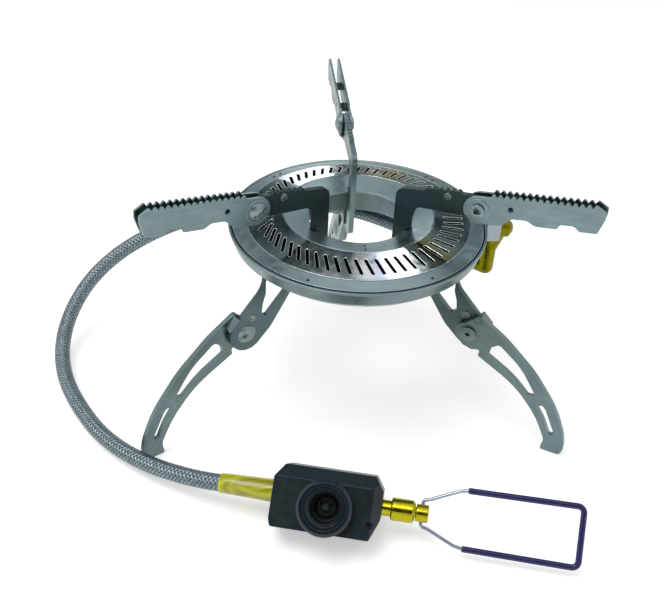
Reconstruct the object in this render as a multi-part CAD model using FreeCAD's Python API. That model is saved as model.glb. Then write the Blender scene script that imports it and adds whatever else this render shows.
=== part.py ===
import FreeCAD, Part
import math
import os
from FreeCAD import Vector

# Remote canister stove: a slotted ring burner on three C-shaped brackets, with folding pot
# supports and legs, a braided gas hose and a valve with a canister socket and a wire handle.
# Millimetres, +Z up. The model is laid out about the burner's axis, with the feet at z = 0,
# and is moved at the end so that the stove's own box is centred on the origin.

# Burner ring
HOLE_R = 22.0            # inner wall of the pan
EDGE_R = 19.0            # inner edge of the flange round the hole
CREST_R = 28.7           # highest circle, where the slotted band meets the inner flange
BAND_R = 42.4            # outer edge of the polished band
FLANGE_R = 47.6          # outer edge of the satin flange
LIP_R = 49.0             # outer edge of the rolled lip
PAN_FLOOR_R = 44.0       # where the pan's floor turns up
PAN_Z = 70.4             # underside of the pan
PAN_DEPTH = 8.6          # pan's floor to the top of its lip
BAND_RISE = 1.2          # lip to the band's outer edge
CREST_RISE = 3.7         # lip to the crest
EDGE_RISE = 1.5          # lip to the inner flange's edge
LAP = 2.0                # flanges under the band
SHEET = 0.8              # pan and cover sheet
SLOTS = 60
SLOT_W = 1.2
SLOT_L = 8.0
SLOT_MID_R = 35.8
SLANT_RATE = 0.5         # slots lean more, the further the gas has come from the inlet
SLANT_ZERO = 58.0        # azimuth of the slots that stand on the radius
SLANT_NEAR = 2.5         # limits of the lean beside the inlet and opposite it
SLANT_FAR = 3.0
SEAT_GAP = 0.05          # between sheets that seat on each other
SPOT_R = 0.5             # spot rivets, as (azimuth, radius)
OUTER_SPOTS = [(-118.0, 45.8), (-62.0, 45.8), (129.0, 44.8), (133.5, 44.8), (41.0, 44.8),
               (45.5, 44.8)]
INNER_SPOTS = [(-90.6, 22.4), (-90.6, 26.2)]

# Brackets: flat plates in three vertical planes
ARM_AZIMUTHS = {"rear": 92.0, "left": 210.0, "right": 330.0}
PLATE = 2.0
PLATE_INNER_R = 14.5
HOLE_GAP = 0.8           # bracket to the wall of the central hole
FOOT_BAR_Z = PAN_Z - 9.1  # underside of the bar below the pan
HEAD_R = 4.1             # round end of the jaw at the support's pivot
LINK_HALF = 7.2          # half width of the link down to the leg's pivot
CLIP_X = 23.4            # angles that tie the brackets to the pan
CLIP_L = 7.0
CLIP_T = 0.8
CLIP_RIVET_R = 1.2
CLIP_RIVET_HEAD_R = 2.1
CLIP_RIVET_X = CLIP_X + CLIP_L / 2
CLIP_RIVET_Z = PAN_Z - 4.4

# Pot supports: channels with two toothed walls
SUPPORT_R = 45.5         # pivot
SUPPORT_Z = 97.2
JAW_TOP_Z = SUPPORT_Z    # top of the upper jaw at its inner end
JAW_BOTTOM_Z = JAW_TOP_Z - 5.8
SUPPORT_RISE = 8.8       # degrees above level when open
SUPPORT_L = 43.5
SUPPORT_HEAD_R = 5.2
WALL = 0.8
WEB = 0.6
CHANNEL = 3.0            # inside width
TOOTH_H = 1.2
TOOTH_PITCH = 2.3
SUPPORT_TEETH = 16
JAW_TEETH = 6
DETENT_D = 11.75         # pivot to the detent
DETENT_UP = 6.9          # degrees from the support's length to its detent hole
DETENT_R = 1.5
DETENT_H = 0.25
SUPPORT_FOLD = 157.0
RIVET_R = 2.0
RIVET_HEAD_R = 3.3
RIVET_HEAD_H = 1.4
TURN_GAP = 0.06          # radial clearance where a piece turns on a rivet
BOSS_R = 4.3             # pressed ring round the support's rivet
BOSS_H = 0.35

# Legs: flat curved plates on the clockwise side of the brackets
LEG_R = 49.7             # pivot
LEG_Z = 44.9
FOOT_IN = 35.9           # pivot to the foot's inner corner, level
FOOT_OUT = 43.6
LEG_SPLAY = 45.7         # degrees below level
LEG_PLATE = 2.0
WASHER_T = 0.4
WASHER_R = 4.4
FACE_GAP = 0.05          # washer to the plates beside it
LEG_RIVET_R = 2.2
LEG_RIVET_HEAD_R = 4.0
LEG_RIVET_HEAD_H = 1.5
STOP_PIN_R = 1.7
STOP_PIN_AT = (-6.2, 2.7)  # from the leg's pivot, along the leg and across it
STOP_PIN_H = 0.4         # low enough for the leg to pass over it
TAB_T = 1.4
TAB_L = 6.0
TAB_V = LINK_HALF + 0.3  # underside of the tab, over the link's edge

# Gas inlet of the burner
JET_Z = 74.9
MIX_R = 3.4
MIX_WALL = 0.5
MIX_L = 11.0
SHROUD_L = 5.6
SHROUD_W = 10.4
SHROUD_TOP = 80.4
SHROUD_T = 0.7
HOLDER_R = 3.7
HOLDER_L = 11.0
BARREL_R = 3.1
BARREL_X = 52.5
ELBOW_Z = 57.0
ELBOW_STUB = 7.0
ELBOW_AZIMUTH = 138.0
NOZZLE_R = 1.8
NOZZLE_L = 2.4

# Hose
HOSE_D = 6.3
FERRULE_R = 4.0
FERRULE_L = 9.0

# Valve, laid out along its spindle axis
VALVE_AT = (-14.8, -78.4, 12.05)   # point of the spindle axis at the middle of the block
VALVE_AZIMUTH = -14.0
VALVE_TILT = 45.0        # socket face leans back from upright
BLOCK_L = 37.8
BLOCK_H = 21.5
BLOCK_T = 20.0
BLOCK_CHAMFER = 4.2
BLOCK_END = 3.0
AXIS_H = 11.2            # spindle axis above the block's bottom
SOCKET_H = 8.9           # socket centre above the block's bottom
COLLAR_R = 9.5
COLLAR_H = 5.6
THREAD_R = 5.55          # 7/16 in thread, as canisters have
THREAD_L = 4.6
SOCKET_DEPTH = 9.0       # thread's mouth to the back of the collar
SOCKET_FLOOR = 6.6       # block's face to the floor behind the collar
RELIEF_R = 5.9
DEPRESSOR_R = 1.1
DEPRESSOR_L = 4.6
SEAL_R = 0.9
SLEEVE_L = 18.5
SLEEVE_BEND = 14.0       # block to the hose's last bend, inside the sleeve
SLEEVE_R = 4.2
BARB_L = 3.0             # bare end of the fitting between block and hose
NECK_R = 2.8
NECK_L = 3.2
BONNET_R = 4.0
BONNET_L = 8.4
SPINDLE_R = 3.1
SPINDLE_L = 4.3
SPINDLE_SHANK_R = 1.8
SPINDLE_SHANK_L = 12.0
CROSS_HOLE_IN = 2.2      # cross hole from the spindle's end

# Wire handle
WIRE_R = 0.65
GRIP_R = 1.1
HANDLE_L = 54.5          # cross hole to the far end
HANDLE_HALF = 10.0
HANDLE_NECK = 14.0       # cross hole to where the sides run parallel
HANDLE_TILT = 50.0       # plane of the loop above level, about the spindle
BEND_R = 2.2

Z_AXIS = Vector(0, 0, 1)


def turned(x, y, degrees):
    """A point turned about the origin of its plane."""
    c = math.cos(math.radians(degrees))
    s = math.sin(math.radians(degrees))
    return x * c - y * s, x * s + y * c


def rounded(corners):
    """A closed face in the XZ plane from (x, z, radius) corners."""
    points = [Vector(x, 0, z) for x, z, _ in corners]
    edges = []
    first = None
    last = None
    for i, (_, _, radius) in enumerate(corners):
        p = points[i]
        to_last = (points[i - 1] - p).normalize()
        to_next = (points[(i + 1) % len(points)] - p).normalize()
        half = to_last.getAngle(to_next) / 2
        if radius > 0 and half < math.pi / 2 - 0.01:
            reach = radius / math.tan(half)
            start = p + to_last * reach
            end = p + to_next * reach
            middle = p + (to_last + to_next).normalize() * (radius / math.sin(half) - radius)
            arc = Part.Arc(start, middle, end).toShape()
        else:
            start = end = p
            arc = None
        if last is not None and last.distanceToPoint(start) > 1e-5:
            edges.append(Part.makeLine(last, start))
        if arc is not None:
            edges.append(arc)
        if first is None:
            first = start
        last = end
    if last.distanceToPoint(first) > 1e-5:
        edges.append(Part.makeLine(last, first))
    return Part.Face(Part.Wire(edges))


def slab(face, low, high):
    """A face of the XZ plane made solid from y = low to y = high."""
    moved = face.copy()
    moved.translate(Vector(0, low, 0))
    return moved.extrude(Vector(0, high - low, 0))


def ring(profile):
    """A turned solid about the Z axis from (radius, z) points."""
    points = [Vector(r, 0, z) for r, z in profile]
    face = Part.Face(Part.makePolygon(points + points[:1]))
    return face.revolve(Vector(0, 0, 0), Z_AXIS, 360)


def rod(radius, start, end):
    """A round bar between two points."""
    axis = end - start
    return Part.makeCylinder(radius, axis.Length, start, axis)


def cross_rod(radius, x, z, low, high):
    """A round bar along Y."""
    return rod(radius, Vector(x, low, z), Vector(x, high, z))


def dome(radius, height, x, z, y, side):
    """A shallow round head on the plane y, bulging towards side."""
    ball_r = (radius ** 2 + height ** 2) / (2 * height)
    centre = Vector(x, y + side * (height - ball_r), z)
    ball = Part.makeSphere(ball_r, centre)
    keep = cross_rod(radius, x, z, min(y, y + side * height), max(y, y + side * height))
    return ball.common(keep)


def around(shape, azimuth):
    """A copy of a shape of the XZ plane, turned to one of the bracket planes."""
    copy = shape.copy()
    copy.rotate(Vector(0, 0, 0), Z_AXIS, azimuth)
    return copy


# ---------------------------------------------------------------- burner ring

LIP_Z = PAN_Z + PAN_DEPTH
PLATE_OUTER_R = HOLE_R - HOLE_GAP


def inner_top(radius):
    """Height of the inner flange, which falls from the crest to the hole's edge."""
    fall = (CREST_RISE - EDGE_RISE) / (CREST_R - EDGE_R)
    return LIP_Z + EDGE_RISE + (radius - EDGE_R) * fall


def outer_top(radius):
    """Height of the outer flange, which falls from the band to the lip."""
    fall = (BAND_RISE - 0.2) / (FLANGE_R - BAND_R)
    return LIP_Z + BAND_RISE - (radius - BAND_R) * fall


def band_top(radius):
    """Height of the slotted band, which falls outward from the crest."""
    fall = (CREST_RISE - BAND_RISE) / (BAND_R - CREST_R)
    return LIP_Z + CREST_RISE - (radius - CREST_R) * fall


def burner_pan():
    wall_x = PAN_FLOOR_R + (LIP_R - PAN_FLOOR_R) * 0.68
    bottom = PAN_Z + PAN_DEPTH * 0.36
    wall_top = inner_top(HOLE_R) - SHEET - SEAT_GAP
    pan = ring([
        (HOLE_R, PAN_Z), (PAN_FLOOR_R, PAN_Z), (wall_x, bottom), (LIP_R, LIP_Z - SHEET),
        (LIP_R, LIP_Z), (LIP_R - SHEET, LIP_Z), (wall_x - SHEET, bottom + SHEET / 3),
        (PAN_FLOOR_R - SHEET / 3, PAN_Z + SHEET), (HOLE_R + SHEET, PAN_Z + SHEET),
        (HOLE_R + SHEET, wall_top), (HOLE_R, wall_top)])
    inlet = rod(MIX_R + SEAT_GAP, Vector(PAN_FLOOR_R - 4, 0, JET_Z), Vector(LIP_R + 2, 0, JET_Z))
    return pan.cut(inlet)


def sheet_ring(points):
    """A turned sheet under a line of (radius, z) points."""
    under = [(r, z - SHEET) for r, z in reversed(points)]
    return ring(points + under)


def burner_flange():
    """The satin ring outside the band, lapped under it."""
    drop = SHEET + SEAT_GAP
    body = sheet_ring([
        (BAND_R - LAP, band_top(BAND_R - LAP) - drop), (BAND_R, LIP_Z + BAND_RISE - drop),
        (BAND_R + 0.3, outer_top(BAND_R + 0.3)), (FLANGE_R, outer_top(FLANGE_R))])
    return body.cut(flange_rivets())


def inner_flange():
    """The satin funnel between the hole and the band, lapped under the band."""
    drop = SHEET + SEAT_GAP
    body = sheet_ring([
        (EDGE_R, inner_top(EDGE_R)), (CREST_R - 0.3, inner_top(CREST_R - 0.3)),
        (CREST_R, LIP_Z + CREST_RISE - drop), (CREST_R + LAP, band_top(CREST_R + LAP) - drop)])
    room = PLATE / 2 + 0.3
    notch = Part.makeBox(PLATE_OUTER_R + 0.4, 2 * room, 2 * PAN_DEPTH, Vector(0, -room, PAN_Z))
    cuts = [around(notch, azimuth) for azimuth in ARM_AZIMUTHS.values()]
    return body.cut(Part.makeCompound(cuts)).cut(flange_rivets())


def slot_slant(azimuth):
    """Degrees off the radius. The gas runs both ways round from the inlet at azimuth 0."""
    side = abs(azimuth)
    slant = SLANT_RATE * (side - SLANT_ZERO)
    slant = max(slant, -SLANT_NEAR * side)
    slant = min(slant, SLANT_FAR * (180 - side))
    return -math.copysign(slant, azimuth)


def flame_port_ring():
    cover = sheet_ring([(CREST_R, band_top(CREST_R)), (BAND_R, band_top(BAND_R))])
    half = SLOT_L / 2 - SLOT_W / 2
    low = LIP_Z - SHEET
    tall = CREST_RISE + 2 * SHEET
    slot = Part.makeBox(2 * half, SLOT_W, tall, Vector(-half, -SLOT_W / 2, low))
    for end in (-half, half):
        slot = slot.fuse(Part.makeCylinder(SLOT_W / 2, tall, Vector(end, 0, low)))
    slot = slot.removeSplitter()
    cuts = []
    for i in range(SLOTS):
        azimuth = i * 360.0 / SLOTS - 180
        cut = around(slot, slot_slant(azimuth))
        cut.translate(Vector(SLOT_MID_R, 0, 0))
        cuts.append(around(cut, azimuth))
    return cover.cut(Part.makeCompound(cuts))


def gas_diffuser():
    """The perforated ring inside the pan that spreads the gas below the slots."""
    z = PAN_Z + PAN_DEPTH * 0.62
    inner = HOLE_R + SHEET + SEAT_GAP
    outer = PAN_FLOOR_R + 1.4
    plate = ring([(inner, z), (outer, z), (outer, z + SHEET / 2), (inner, z + SHEET / 2)])
    skirt = ring([(inner, z), (inner, PAN_Z + SHEET + SEAT_GAP),
                  (inner + SHEET / 2, PAN_Z + SHEET + SEAT_GAP), (inner + SHEET / 2, z)])
    holes = []
    for radius, count in ((29.0, 24), (35.0, 30)):
        for i in range(count):
            hole = Part.makeCylinder(0.9, 3, Vector(radius, 0, z - 1))
            holes.append(around(hole, i * 360.0 / count))
    tube_room = rod(MIX_R + 0.4, Vector(PAN_FLOOR_R - MIX_L, 0, JET_Z), Vector(LIP_R, 0, JET_Z))
    return plate.fuse(skirt).removeSplitter().cut(Part.makeCompound(holes + [tube_room]))


def flange_rivets():
    """Small spot rivets in the outer and inner flanges."""
    spots = [(azimuth, radius, outer_top(radius)) for azimuth, radius in OUTER_SPOTS]
    spots += [(azimuth, radius, inner_top(radius)) for azimuth, radius in INNER_SPOTS]
    heads = [around(Part.makeCylinder(SPOT_R, 0.6, Vector(radius, 0, top - 0.4)), azimuth)
             for azimuth, radius, top in spots]
    return Part.makeCompound(heads)


# ------------------------------------------------------------------- brackets

def leg_point(u, v):
    """A point of the leg: u from the pivot towards the foot, v square to it, upward."""
    x, z = turned(u, v, -LEG_SPLAY)
    return LEG_R + x, LEG_Z + z


def support_point(u, v):
    """A point of the open pot support: u outward along it, v upward."""
    x, z = turned(u, v, SUPPORT_RISE)
    return SUPPORT_R + x, SUPPORT_Z + z


def teeth(start_x, base_z, count, slope):
    """Corners of a row of pointed teeth along a sloping edge."""
    corners = []
    for i in range(count):
        x = start_x + i * TOOTH_PITCH
        z = base_z + (x - start_x) * slope
        corners += [(x, z, 0), (x + 0.35 * TOOTH_PITCH, z + TOOTH_H, 0.25),
                    (x + 0.6 * TOOTH_PITCH, z + TOOTH_H, 0.25)]
    return corners


def detent_point():
    """Where the folded support's detent hole meets the bracket."""
    u, v = turned(DETENT_D, 0, DETENT_UP + SUPPORT_RISE + SUPPORT_FOLD)
    return SUPPORT_R + u, SUPPORT_Z + v


def bracket_plate():
    slope = math.tan(math.radians(SUPPORT_RISE))
    teeth_x = PLATE_INNER_R + 10.5
    teeth_z = JAW_TOP_Z + 10.5 * slope
    teeth_end = teeth_x + JAW_TEETH * TOOTH_PITCH
    stop_x, _ = support_point(-2.7, -SUPPORT_HEAD_R)
    link_top = leg_point(-18.0, LINK_HALF)
    corners = [(PLATE_INNER_R, JAW_TOP_Z, 3.6)]
    corners += teeth(teeth_x, teeth_z, JAW_TEETH, slope)
    corners += [
        (teeth_end, teeth_z + (teeth_end - teeth_x) * slope, 0.6),
        (SUPPORT_R - HEAD_R, SUPPORT_Z + HEAD_R, 0.8),
        (SUPPORT_R + HEAD_R, SUPPORT_Z + HEAD_R, HEAD_R),
        (SUPPORT_R + HEAD_R, SUPPORT_Z - HEAD_R, HEAD_R),
        (stop_x, SUPPORT_Z - HEAD_R, 0), (stop_x, SUPPORT_Z - SUPPORT_HEAD_R - 0.5, 0.4),
        (stop_x - 1.6, SUPPORT_Z - SUPPORT_HEAD_R - 0.5, 0.8),
        (stop_x - 3.2, JAW_BOTTOM_Z + 1.6, 1.2), (PLATE_OUTER_R + 1.4, JAW_BOTTOM_Z, 3.0),
        (PLATE_OUTER_R, JAW_BOTTOM_Z - 6.0, 4.0), (PLATE_OUTER_R, PAN_Z, 0),
        (link_top[0] - 0.8, PAN_Z, 1.5), (link_top[0], link_top[1], 10.0),
        leg_point(LINK_HALF, LINK_HALF) + (LINK_HALF,),
        leg_point(LINK_HALF - 0.2, 0.2 - LINK_HALF) + (LINK_HALF - 0.6,),
        leg_point(-7.0, -LINK_HALF - 0.4) + (14.0,), leg_point(-27.5, -3.9) + (8.0,),
        (PLATE_INNER_R, FOOT_BAR_Z, 5.0)]
    return rounded(corners)


def bracket_window():
    """The opening in the link, wide enough for the hose to pass in the rear bracket."""
    low = FOOT_BAR_Z - 3.0
    high = PAN_Z - 3.6
    left = 32.7
    right = left + HOSE_D + 2.4
    return rounded([
        (left, high, 1.5), (right, high, 1.5), (right, low + 2.2, 2.0),
        leg_point(-13.0, 3.0) + (1.5,), leg_point(-9.6, 0.4) + (1.0,),
        leg_point(-9.6, -2.4) + (0.8,), (left, low + 0.6, 3.0)])


def bracket():
    plate = slab(bracket_plate(), -PLATE / 2, PLATE / 2)
    window = slab(bracket_window(), -PLATE, PLATE)
    detent = detent_point()
    pin = leg_point(*STOP_PIN_AT)
    holes = [cross_rod(RIVET_R, SUPPORT_R, SUPPORT_Z, -PLATE, PLATE),
             cross_rod(LEG_RIVET_R, LEG_R, LEG_Z, -PLATE, PLATE),
             cross_rod(DETENT_R * 0.7, detent[0], detent[1], -PLATE, PLATE),
             cross_rod(STOP_PIN_R * 0.7, pin[0], pin[1], -PLATE, PLATE),
             cross_rod(CLIP_RIVET_R, CLIP_RIVET_X, CLIP_RIVET_Z, -PLATE, PLATE)]
    return plate.cut(Part.makeCompound([window] + holes))


def bracket_clip():
    """An angle that ties the bracket to the underside of the pan."""
    y = PLATE / 2
    upright = Part.makeBox(CLIP_L, CLIP_T, 7.6, Vector(CLIP_X, y, PAN_Z - 7.6))
    flat = Part.makeBox(CLIP_L, 6.0, CLIP_T, Vector(CLIP_X, y, PAN_Z - CLIP_T))
    hole = cross_rod(CLIP_RIVET_R, CLIP_RIVET_X, CLIP_RIVET_Z, 0, y + 2 * CLIP_T)
    return upright.fuse(flat).removeSplitter().cut(hole)


def clip_rivet():
    y = PLATE / 2
    shank = cross_rod(CLIP_RIVET_R, CLIP_RIVET_X, CLIP_RIVET_Z, -y, y + CLIP_T)
    heads = [dome(CLIP_RIVET_HEAD_R, 0.8, CLIP_RIVET_X, CLIP_RIVET_Z, y + CLIP_T, 1),
             dome(CLIP_RIVET_HEAD_R, 0.8, CLIP_RIVET_X, CLIP_RIVET_Z, -y, -1)]
    return shank.fuse(heads).removeSplitter()


def detent_pin():
    x, z = detent_point()
    half = PLATE / 2
    pin = cross_rod(DETENT_R * 0.7, x, z, -half, half)
    heads = [dome(DETENT_R, DETENT_H, x, z, half, 1), dome(DETENT_R, DETENT_H, x, z, -half, -1)]
    return pin.fuse(heads).removeSplitter()


def stop_pin():
    x, z = leg_point(*STOP_PIN_AT)
    half = PLATE / 2
    pin = cross_rod(STOP_PIN_R * 0.7, x, z, -half, half)
    head = cross_rod(STOP_PIN_R, x, z, -half - STOP_PIN_H, -half)
    button = dome(STOP_PIN_R * 0.95, 0.4, x, z, half, 1)
    return pin.fuse([head, button]).removeSplitter()


# --------------------------------------------------------------- pot supports

def support_outline():
    """Side of the channel in its own (u, v) frame, as corners."""
    top = SUPPORT_HEAD_R
    deep = -3.8
    notch = -2.0
    tip = SUPPORT_L
    corners = [(-SUPPORT_HEAD_R, SUPPORT_HEAD_R, SUPPORT_HEAD_R)]
    corners += teeth(4.6, top, SUPPORT_TEETH, 0.0)
    corners += [
        (tip - 1.4, top, 0.4), (tip, top - 1.0, 0.6), (tip - 0.3, 1.5, 2.0),
        (tip - 2.6, deep, 0.8), (tip - 8.5, deep, 1.5), (tip - 10.2, notch, 1.5),
        (tip - 14.8, notch, 1.0), (tip - 16.0, deep, 0.8), (20.0, deep, 3.0),
        (17.4, notch, 3.0), (12.2, notch, 2.5), (8.6, -SUPPORT_HEAD_R + 0.4, 2.0),
        (5.0, -SUPPORT_HEAD_R, 1.0), (-SUPPORT_HEAD_R, -SUPPORT_HEAD_R, SUPPORT_HEAD_R)]
    return corners


def channel_webs():
    """The three strips of the sheet that join the two walls."""
    strips = [(-2.6, 5.2, -SUPPORT_HEAD_R), (11.8, 17.8, -2.0),
              (SUPPORT_L - 15.2, SUPPORT_L - 9.8, -2.0)]
    half = CHANNEL / 2
    return [Part.makeBox(end - start, 2 * half, WEB, Vector(start, -half, low))
            for start, end, low in strips]


def pot_support():
    half = CHANNEL / 2 + WALL
    side = rounded(support_outline())
    body = slab(side, -half, -CHANNEL / 2).fuse(
        [slab(side, CHANNEL / 2, half)] + channel_webs()).removeSplitter()
    u, v = turned(DETENT_D, 0, DETENT_UP)
    holes = [cross_rod(RIVET_R + TURN_GAP, 0, 0, -half - 1, half + 1),
             cross_rod(DETENT_R * 0.68, u, v, -half - 1, half + 1)]
    boss = []
    for side in (-1, 1):
        face = side * half
        edge = face + side * BOSS_H
        boss.append(cross_rod(BOSS_R, 0, 0, min(face, edge), max(face, edge)))
    body = body.fuse(boss).removeSplitter()
    body = body.cut(Part.makeCompound(holes))
    body.rotate(Vector(0, 0, 0), Vector(0, 1, 0), -SUPPORT_RISE)
    body.translate(Vector(SUPPORT_R, 0, SUPPORT_Z))
    return body


def support_rivet():
    half = CHANNEL / 2 + WALL + BOSS_H + FACE_GAP
    shank = cross_rod(RIVET_R, SUPPORT_R, SUPPORT_Z, -half, half)
    head = dome(RIVET_HEAD_R, RIVET_HEAD_H, SUPPORT_R, SUPPORT_Z, half, 1)
    collar = cross_rod(RIVET_R + 0.5, SUPPORT_R, SUPPORT_Z, -half - 0.7, -half)
    hollow = cross_rod(RIVET_R * 0.7, SUPPORT_R, SUPPORT_Z, -half - 1, -half + 1.2)
    return shank.fuse([head, collar]).removeSplitter().cut(hollow)


# ----------------------------------------------------------------------- legs

LEG_FACE = -(PLATE / 2 + WASHER_T + 2 * FACE_GAP)   # side of the leg towards its bracket


def leg_face(corners):
    return rounded([leg_point(u, v) + (radius,) for u, v, radius in corners])


def leg_outline():
    return [(-4.9, -4.9, 4.9), (-4.9, 0.2, 0.4), (-4.2, 1.8, 0.6), (-4.2, TAB_V + TAB_T, 1.6),
            (9.0, 11.9, 24.0), (26.0, 13.3, 46.0),
            (44.0, 11.4, 46.0), (57.0, 6.4, 24.0), (61.6, 2.6, 6.0)]


def leg_plate():
    """A curved band from the pivot to a flat foot."""
    foot_out = (LEG_R + FOOT_OUT, 0.0)
    foot_in = (LEG_R + FOOT_IN, 0.0)
    corners = [leg_point(u, v) + (radius,) for u, v, radius in leg_outline()]
    corners += [foot_out + (1.4,), foot_in + (0.9,), (foot_in[0] + 0.5, 2.4, 0.5)]
    lower = [(54.0, -1.3, 6.0), (43.0, 2.1, 40.0), (28.0, 2.9, 40.0), (10.0, -2.6, 0.6),
             (8.1, -0.1, 0.8), (6.6, -3.2, 1.5), (3.2, -5.2, 2.4)]
    corners += [leg_point(u, v) + (radius,) for u, v, radius in lower]
    return rounded(corners)


def leg():
    back = LEG_FACE - LEG_PLATE
    plate = slab(leg_plate(), back, LEG_FACE)
    upper = leg_face([(9.4, 8.3, 1.6), (22.0, 10.0, 30.0), (35.2, 7.6, 1.0), (33.6, 4.9, 1.0),
                      (24.0, 4.7, 40.0), (11.8, 1.3, 0.8), (9.2, 4.6, 1.0)])
    lower = leg_face([(39.6, 7.7, 1.0), (42.0, 7.6, 1.0), (53.6, 3.9, 0.8), (53.0, 1.7, 0.8),
                      (46.0, 4.2, 30.0), (39.4, 5.2, 1.0)])
    tab = rounded([leg_point(-3.6, TAB_V) + (0.2,),
                   leg_point(-3.6, TAB_V + TAB_T) + (0.5,),
                   leg_point(TAB_L - 3.6, TAB_V + TAB_T) + (0.5,),
                   leg_point(TAB_L - 3.6, TAB_V) + (0.2,)])
    body = plate.cut(slab(upper, back - 1, LEG_FACE + 1))
    body = body.cut(slab(lower, back - 1, LEG_FACE + 1))
    body = body.fuse(slab(tab, back, PLATE / 2 + 0.3)).removeSplitter()
    return body.cut(cross_rod(LEG_RIVET_R + TURN_GAP, LEG_R, LEG_Z, back - 1, LEG_FACE + 1))


def leg_rivet():
    inner = PLATE / 2
    outer = LEG_FACE - LEG_PLATE - FACE_GAP
    shank = cross_rod(LEG_RIVET_R, LEG_R, LEG_Z, outer, inner)
    big = dome(LEG_RIVET_HEAD_R, LEG_RIVET_HEAD_H, LEG_R, LEG_Z, inner, 1)
    small = cross_rod(LEG_RIVET_R + 0.8, LEG_R, LEG_Z, outer - 0.8, outer)
    hollow = cross_rod(LEG_RIVET_R * 0.45, LEG_R, LEG_Z, outer - 1, outer + 1)
    return shank.fuse([big, small]).removeSplitter().cut(hollow)


def leg_washer():
    y = -PLATE / 2 - FACE_GAP
    disc = cross_rod(WASHER_R, LEG_R, LEG_Z, y - WASHER_T, y)
    return disc.cut(cross_rod(LEG_RIVET_R + FACE_GAP, LEG_R, LEG_Z, y - 1, y + 1))


# ------------------------------------------------------------------ gas inlet

def elbow_way():
    return Vector(math.cos(math.radians(ELBOW_AZIMUTH)), math.sin(math.radians(ELBOW_AZIMUTH)), 0)


HOLDER_X = LIP_R + 0.3
ELBOW = Vector(BARREL_X, 0, ELBOW_Z)


def mixing_tube():
    start = Vector(HOLDER_X - 1.6, 0, JET_Z)
    end = start - Vector(MIX_L, 0, 0)
    bell = Part.makeCone(MIX_R, MIX_R - 0.6, 2.0, end, Vector(-1, 0, 0))
    tube = rod(MIX_R, end, start).fuse(bell).removeSplitter()
    bore = rod(MIX_R - MIX_WALL - 0.3, end - Vector(3, 0, 0), start + Vector(1, 0, 0))
    return tube.cut(bore)


def air_shroud():
    """A folded cover over the gap where the jet draws in air."""
    start = LIP_R + SEAT_GAP
    low = JET_Z - 3.0
    outer = Part.makeBox(SHROUD_L, SHROUD_W, SHROUD_TOP - low, Vector(start, -SHROUD_W / 2, low))
    outer = outer.makeFillet(1.6, [e for e in outer.Edges if along_x(e) and e.CenterOfMass.z > JET_Z])
    inner_w = SHROUD_W - 2 * SHROUD_T
    inner = Part.makeBox(SHROUD_L + 2, inner_w, SHROUD_TOP - low - SHROUD_T + 1,
                         Vector(start - 1, -inner_w / 2, low - 1))
    inner = inner.makeFillet(1.0, [e for e in inner.Edges if along_x(e) and e.CenterOfMass.z > JET_Z])
    return outer.cut(inner)


def along_x(edge):
    a, b = edge.Vertexes[0].Point, edge.Vertexes[-1].Point
    return abs(a.y - b.y) < 1e-6 and abs(a.z - b.z) < 1e-6


def jet_holder():
    """Brass body: a plugged cross barrel, an upright barrel and an elbow to the hose."""
    start = Vector(HOLDER_X, 0, JET_Z)
    end = start + Vector(HOLDER_L, 0, 0)
    taper = 1.6
    neck = end - Vector(taper, 0, 0)
    cross = rod(HOLDER_R, start, neck)
    nose = Part.makeCone(HOLDER_R, HOLDER_R - taper, taper, neck, Vector(1, 0, 0))
    upright = rod(BARREL_R, ELBOW, Vector(BARREL_X, 0, JET_Z))
    knee = Part.makeSphere(BARREL_R, ELBOW)
    high = end - Vector(BARREL_R + 1.2, 0, 0)
    low = Vector(BARREL_X, 0, JET_Z - 9.0)
    shoulder = rod(BARREL_R, low, high).fuse([Part.makeSphere(BARREL_R, high),
                                              Part.makeSphere(BARREL_R, low)])
    stub = rod(BARREL_R, ELBOW, ELBOW + elbow_way() * (ELBOW_STUB - 2))
    barb = rod(HOSE_BORE - SEAT_GAP, ELBOW, ELBOW + elbow_way() * (ELBOW_STUB + 5))
    body = cross.fuse([nose, upright, knee, shoulder, stub, barb]).removeSplitter()
    passage = rod(1.0, ELBOW, Vector(BARREL_X, 0, JET_Z + 1))
    passage = passage.fuse(rod(1.0, ELBOW, ELBOW + elbow_way() * (ELBOW_STUB + 6)))
    seat = rod(NOZZLE_R * 0.8, start - Vector(1, 0, 0), start + Vector(NOZZLE_L, 0, 0))
    seat = seat.fuse(rod(0.8, start, Vector(BARREL_X + 1, 0, JET_Z)))
    return body.cut(passage.fuse(seat))


def jet_nozzle():
    start = Vector(HOLDER_X, 0, JET_Z)
    thread = rod(NOZZLE_R * 0.8, start, start + Vector(NOZZLE_L, 0, 0))
    head = rod(NOZZLE_R * 1.25, start - Vector(1.0, 0, 0), start)
    tip = Part.makeCone(NOZZLE_R, 0.6, 0.5, start - Vector(1.0, 0, 0), Vector(-1, 0, 0))
    body = thread.fuse([head, tip]).removeSplitter()
    return body.cut(rod(0.2, start - Vector(2, 0, 0), start + Vector(NOZZLE_L + 1, 0, 0)))


# ----------------------------------------------------------------------- hose

HOSE_BORE = HOSE_D / 2 - 1.5
HOSE_R = HOSE_D / 2
FLOOR_Z = HOSE_R + 0.05


def valve_axis():
    a = math.radians(VALVE_AZIMUTH)
    return Vector(math.cos(a), math.sin(a), 0)


def hose_route():
    """From the burner's elbow, through the rear bracket, round to the valve."""
    start = ELBOW + elbow_way() * (ELBOW_STUB - 2)
    axis = valve_axis()
    middle = Vector(*VALVE_AT)
    end = middle - axis * (BLOCK_L / 2 + BARB_L)
    route = [start, start + elbow_way() * 17 + Vector(0, 0, 0.8)]
    route += [Vector(*p) for p in HOSE_POINTS]
    route += [middle - axis * (BLOCK_L / 2 + SLEEVE_BEND), end]
    return route


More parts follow.
